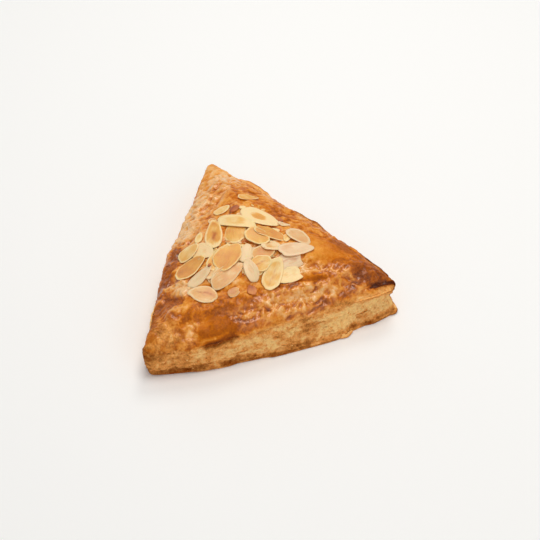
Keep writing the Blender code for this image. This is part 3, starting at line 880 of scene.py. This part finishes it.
def lie_on(trees, spot, share):
    """Heights of a flake's points when it rests on the pile, bent a little to its shape."""
    middle = spot[share == 0][0]
    tried = spot[(share > 0) & (share < 0.95)][::3]
    heights = [height_under(trees, place) for place in tried]
    known = [(place - middle, height) for place, height in zip(tried, heights) if height is not None]
    away = np.array([place for place, _ in known]) / MM
    height = np.array([value for _, value in known])
    plane = np.linalg.lstsq(plane_terms(away), height, rcond=None)[0]
    rest = height - plane_terms(away) @ plane
    bend = np.linalg.lstsq(bend_terms(away), rest, rcond=None)[0] * FLAKE_GIVE
    lift = np.clip(np.quantile(rest - bend_terms(away) @ bend, 0.85), 0, 1.0 * MM)
    place = (spot - middle) / MM
    return plane_terms(place) @ plane + bend_terms(place) @ bend + lift


def chip_rows(looks):
    """Small broken flakes at seeded places among the large ones, as rows like theirs."""
    random = np.random.default_rng(looks.seed)
    rows = []
    for _ in range(looks.chips):
        x, y, length = random.uniform(-36, 26), random.uniform(-52, 8), random.uniform(2.5, 7)
        heading, narrow, core, cut, yellow = random.uniform(*CHIP_LIMITS)
        if random.uniform(0, 0.7) < strokes(np.array([[x, y]]) * MM, STREWN)[0]:
            rows.append((x, y, heading, length, length * narrow, core, 0.8, 0.3 * core, 0.0, cut, yellow))
    return rows


def almond_arrays(looks, body):
    """All flakes, each laid on the crust and on those before it: points, triangles and masks."""
    chips = chip_rows(looks)
    high = (body.points[body.faces][:, :, 2] > 15 * MM).all(axis=1)
    trees = [BVHTree.FromPolygons(body.points.tolist(), body.faces[high].tolist())]
    points, faces, masks = [], [], []
    for number, row in enumerate([*chips, *FLAKES], start=-len(chips)):
        spot, lift, share, triangles, mask = flake_points(row, looks, number)
        height = lie_on(trees, spot, share) + looks.thickness / 2
        made = np.column_stack([spot, height + lift])
        trees.append(BVHTree.FromPolygons(made.tolist(), triangles.tolist()))
        faces.append(triangles + sum(len(part) for part in points))
        points.append(made)
        masks.append(mask)
    joined = {name: np.concatenate([mask[name] for mask in masks]) for name in masks[0]}
    return np.concatenate(points), np.concatenate(faces), joined


# Loose leaves, flecks and bits

LEAF_STEPS = 5
LEAF_ROWS = 2 * LEAF_STEPS
LEAF_HALF = 0.28
CROWN_FROM = 20 * MM


def leaf_arrays(body, row, number):
    """One loose leaf of dough, a thin closed strip rooted in the side: points, faces and how baked it is."""
    start, end, root, reach, rise, bake = row
    rings = body.sizes.side_rings
    count = int((end - start) * 2)
    share = np.linspace(0, 1, count)
    column = (start + (end - start) * share) / SIDE_IN_MM * body.per_side % body.round
    sides = body.points[body.foot[0]:body.foot[0] + rings * body.round].reshape(rings, body.round, 3)
    nearest = column.astype(int)
    ring = np.clip((root * MM / body.heights[nearest] * rings).astype(int), 0, rings - 1)
    place = sides[ring, nearest]
    place = np.stack([
        np.convolve(np.pad(place[:, axis], 3, "edge"), np.full(7, 1 / 7), "valid") for axis in range(3)
    ], axis=1)
    outward = np.column_stack([body.outward[body.foot[nearest]], np.zeros(count)])
    ragged = np.array([noise.noise((value * (end - start) / 5, number * 3.3, 0.7)) for value in share])
    free = np.sin(np.pi * share) ** 0.5
    up = np.array([0, 0, 1])
    rows = []
    for side in (1, -1):
        for across in np.linspace(0, 1, LEAF_STEPS)[::side]:
            out = -1.0 + (reach * free + 1.0 + 0.5 * ragged) * across
            lift = (rise * free + 0.2 * ragged) * across
            normal = up * (reach + 1) - outward * rise
            half = side * LEAF_HALF * (1 - 0.6 * across) / np.hypot(reach + 1, rise)
            rows.append(place + MM * (outward * out[:, None] + up * lift[:, None] + normal * half))
    points = np.concatenate(rows)
    faces = []
    for lower in range(LEAF_ROWS):
        upper = (lower + 1) % LEAF_ROWS
        for step in range(count - 1):
            a, b = lower * count + step, upper * count + step
            faces += [(a, b, b + 1), (a, b + 1, a + 1)]
    for step, order in ((0, 1), (count - 1, -1)):
        for lower in range(LEAF_STEPS - 1):
            ring_ends = [lower, lower + 1, LEAF_ROWS - 2 - lower, LEAF_ROWS - 1 - lower]
            faces.append(tuple(value * count + step for value in ring_ends[::order]))
    across = np.concatenate([np.linspace(0, 1, LEAF_STEPS), np.linspace(1, 0, LEAF_STEPS)])
    return points, faces, bake + 0.3 * np.repeat(across, count) ** 3 + 0.15 * np.tile(ragged, LEAF_ROWS)


def scatter_tree():
    """Node tree that strews flat lumps over a mesh by a mask, each with a random value of one attribute."""
    inputs = {"Geometry": "Geometry", "Mask": "String", "Per area": "Float", "Size": "Float", "Seed": "Int",
              "Varied": "String", "Highest": "Float", "Material": "Material"}
    nodes, given = new_tree("strewn_lumps", "GeometryNodeTree", inputs, "Geometry", "Geometry")
    mask = nodes.add("GeometryNodeInputNamedAttribute", {"Name": given["Mask"]}, data_type="FLOAT")
    density = nodes.times(mask.outputs["Attribute"], given["Per area"])
    points = nodes.add("GeometryNodeDistributePointsOnFaces",
                       {"Mesh": given["Geometry"], "Density": density, "Seed": given["Seed"]})
    lump = nodes.add("GeometryNodeMeshIcoSphere", {"Radius": 0.5, "Subdivisions": 2})
    flat = nodes.add("GeometryNodeTransform", {"Geometry": lump.outputs["Mesh"], "Scale": (1.0, 0.6, 0.2)})
    size = nodes.times(nodes.random(0.4, 1.3, 1), given["Size"])
    placed = nodes.add("GeometryNodeInstanceOnPoints",
                       {"Points": points.outputs["Points"], "Instance": flat.outputs["Geometry"],
                        "Rotation": points.outputs["Rotation"], "Scale": size})
    turn = nodes.add("FunctionNodeRandomValue", {0: (-0.5, -0.5, 0.0), 1: (0.5, 0.5, 6.28), "Seed": 2},
                     data_type="FLOAT_VECTOR").outputs[0]
    turned = nodes.add("GeometryNodeRotateInstances",
                       {"Instances": placed.outputs["Instances"], "Rotation": turn})
    varied = {"Name": given["Varied"], "Value": nodes.random(0.15, given["Highest"], 3)}
    stored = nodes.add("GeometryNodeStoreNamedAttribute", {"Geometry": turned.outputs["Instances"], **varied},
                       data_type="FLOAT", domain="INSTANCE")
    real = nodes.add("GeometryNodeRealizeInstances", {"Geometry": stored.outputs["Geometry"]})
    smooth = nodes.add("GeometryNodeSetShadeSmooth", {"Geometry": real.outputs["Geometry"]})
    coloured = nodes.add("GeometryNodeSetMaterial",
                         {"Geometry": smooth.outputs["Geometry"], "Material": given["Material"]})
    nodes.add("NodeGroupOutput", {"Geometry": coloured.outputs["Geometry"]})
    return nodes.tree


def strewn(name, body, mask, tree, values):
    """A finished piece of lumps strewn over the body where the mask allows."""
    base = bpy.data.meshes.new(name)
    base.from_pydata((body.points - BOX_MIDDLE).tolist(), [], body.faces.tolist())
    base.attributes.new("allowed", "FLOAT", "POINT").data.foreach_set("value", mask.astype(np.float32))
    obj = link(bpy.data.objects.new(name, base))
    modifier = obj.modifiers.new("strewn", "NODES")
    modifier.node_group = tree
    for item in tree.interface.items_tree:
        if item.name in values:
            modifier[item.identifier] = values[item.name]
    graph = bpy.context.evaluated_depsgraph_get()
    shown = obj.evaluated_get(graph)
    plain = bpy.data.meshes.new_from_object(shown, preserve_all_data_layers=True, depsgraph=graph)
    obj.modifiers.clear()
    places = np.zeros(3 * len(plain.vertices))
    plain.vertices.foreach_get("co", places)
    plain.vertices.foreach_set("co", boxed(places.reshape(-1, 3)).ravel())
    obj.data = plain
    return ridden(obj)


# Operators

class PASTRY_OT_body(bpy.types.Operator):
    """Build the pastry body: glazed crust, layered sides and flat bottom"""
    bl_idname = "pastry.body"
    bl_label = "Pastry body"

    def execute(self, context):
        body = Body(context.scene.pastry_sizes)
        built["body"] = body
        faces = body.faces.tolist() + [body.foot[::-1].tolist()]
        attributes = {"bake": body.bake, "side": body.side, "crevice": body.crevice, "rough": body.rough}
        material = dough_material("baked_crust", context.scene.pastry_tones)
        piece("pastry_crust", body.points, faces, attributes, material)
        return {"FINISHED"}


class PASTRY_OT_leaves(bpy.types.Operator):
    """Lift the loose leaves of dough off the sides"""
    bl_idname = "pastry.leaves"
    bl_label = "Loose leaves"

    def execute(self, context):
        points, faces, bakes, total = [], [], [], 0
        for number, row in enumerate(LEAVES):
            place, polygons, bake = leaf_arrays(built["body"], row, number)
            points.append(place)
            faces += [tuple(corner + total for corner in polygon) for polygon in polygons]
            bakes.append(bake)
            total += len(place)
        material = dough_material("loose_dough", context.scene.pastry_tones, always_side=True)
        masks = {"bake": np.concatenate(bakes)}
        piece("loose_leaves", np.concatenate(points), faces, masks, material)
        return {"FINISHED"}


class PASTRY_OT_flecks(bpy.types.Operator):
    """Strew flecks of dough over the sides and bits of nut over the crown"""
    bl_idname = "pastry.flecks"
    bl_label = "Flecks and bits"

    def execute(self, context):
        looks, body = context.scene.pastry_crumbs, built["body"]
        tree = scatter_tree()
        shed = body.side * ramp(body.points[:, 2], 1.5 * MM, 3 * MM)
        shed *= 1 - ramp(body.height_share, 0.85, 0.95)
        shed *= round_the_rim(SPLITTING, body.around)
        crown = np.clip(strokes(body.points[:, :2], STREWN), 0, 1) * (body.points[:, 2] > CROWN_FROM)
        for name, mask, per_area, size, seed, varied, highest, material, slot in (
            ("dough_flecks", shed, looks.flecks_per_area, looks.fleck_size, looks.seed, "bake", 0.38,
             "loose_dough", "baked_crust"),
            ("nut_bits", crown, looks.bits_per_area, looks.bit_size, looks.seed + 1, "toast", 0.6,
             "toasted_almond", "toasted_almond"),
        ):
            strewn(name, body, mask, tree, {
                "Mask": "allowed", "Per area": per_area, "Size": size, "Seed": seed, "Varied": varied,
                "Highest": highest, "Material": bpy.data.materials[material],
            })
        return {"FINISHED"}


class PASTRY_OT_almonds(bpy.types.Operator):
    """Lay the flaked almonds on the crust"""
    bl_idname = "pastry.almonds"
    bl_label = "Flaked almonds"

    def execute(self, context):
        looks = context.scene.pastry_almonds
        points, faces, masks = almond_arrays(looks, built["body"])
        piece("almond_flakes", points, faces, masks, almond_material(looks))
        return {"FINISHED"}


# Soft lamps: name, place, size, which power they share, and how much of it
LAMPS = (
    ("key", (0.30, 0.50, 0.80), 0.35, "key_power", 0.5),
    ("overhead", (0.10, 0.0, 1.0), 0.5, "key_power", 1.0),
    ("backdrop", (-0.35, 1.2, 0.5), 0.8, "key_power", 0.25),
    ("fill", (0.1, -1.0, 0.55), 0.9, "fill_power", 1.0),
)
LAMP_COLOUR = (1.0, 0.98, 0.93)
WHITE = (1.0, 1.0, 1.0, 1.0)
FLOOR_REACH = 3
CAMERA_TARGET = (0.01436, -0.0073, 0.0)


class PASTRY_OT_stage(bpy.types.Operator):
    """Set the floor, the soft lights and the camera"""
    bl_idname = "pastry.stage"
    bl_label = "Stage"

    def execute(self, context):
        looks = context.scene.pastry_stage
        scene = context.scene
        material, nodes, shader = new_material("floor")
        nodes.feed(shader, {"Base Color": looks.floor, "Roughness": 0.9})
        mesh = bpy.data.meshes.new("floor")
        corners = [(x * FLOOR_REACH, y * FLOOR_REACH, 0) for x, y in ((-1, -1), (1, -1), (1, 1), (-1, 1))]
        mesh.from_pydata(corners, [], [(0, 1, 2, 3)])
        mesh.materials.append(material)
        link(bpy.data.objects.new("floor", mesh))
        world = bpy.data.worlds.new("white_surround")
        world.use_nodes = True
        surround = {"Color": WHITE, "Strength": looks.surround}
        Nodes(world.node_tree).feed(world.node_tree.nodes["Background"], surround)
        scene.world = world
        for name, place, size, power, share in LAMPS:
            lamp = bpy.data.lights.new(name, "AREA")
            lamp.size = size
            lamp.energy = getattr(looks, power) * share
            lamp.color = LAMP_COLOUR
            light = link(bpy.data.objects.new(name, lamp))
            light.location = place
            light.rotation_euler = (-Vector(place)).to_track_quat("-Z", "Y").to_euler()
        camera = link(bpy.data.objects.new("camera", bpy.data.cameras.new("camera")))
        camera.data.lens = looks.lens
        camera.data.clip_start = 0.01
        back = Vector((np.sin(looks.azimuth) * np.cos(looks.elevation),
                       -np.cos(looks.azimuth) * np.cos(looks.elevation), np.sin(looks.elevation)))
        camera.location = Vector(CAMERA_TARGET) + back * looks.distance
        camera.rotation_euler = back.to_track_quat("Z", "Y").to_euler()
        scene.camera = camera
        scene.view_settings.view_transform = "Standard"
        return {"FINISHED"}


class PASTRY_PT_panel(bpy.types.Panel):
    """Sizes, colours and the steps that build the pastry"""
    bl_label = "Pastry triangle"
    bl_idname = "PASTRY_PT_panel"
    bl_space_type = "VIEW_3D"
    bl_region_type = "UI"
    bl_category = "Pastry"

    def draw(self, context):
        for name, kind in GROUPS.items():
            box = self.layout.box()
            box.label(text=kind.__doc__)
            for prop in kind.__annotations__:
                box.prop(getattr(context.scene, name), prop)
        for operator in OPERATORS:
            self.layout.operator(operator.bl_idname)


GROUPS = {
    "pastry_sizes": PastryBodySizes,
    "pastry_tones": PastryTones,
    "pastry_almonds": AlmondLooks,
    "pastry_crumbs": CrumbLooks,
    "pastry_stage": StageLooks,
}
OPERATORS = (PASTRY_OT_body, PASTRY_OT_leaves, PASTRY_OT_almonds, PASTRY_OT_flecks, PASTRY_OT_stage)


def register():
    for kind in (*GROUPS.values(), *OPERATORS, PASTRY_PT_panel):
        bpy.utils.register_class(kind)
    for name, kind in GROUPS.items():
        setattr(bpy.types.Scene, name, PointerProperty(type=kind))


def unregister():
    for name in GROUPS:
        delattr(bpy.types.Scene, name)
    for kind in (PASTRY_PT_panel, *reversed(OPERATORS), *reversed(GROUPS.values())):
        bpy.utils.unregister_class(kind)


def main():
    register()
    bpy.ops.pastry.body()
    bpy.ops.pastry.leaves()
    bpy.ops.pastry.almonds()
    bpy.ops.pastry.flecks()
    bpy.ops.pastry.stage()


if __name__ == "__main__":
    main()
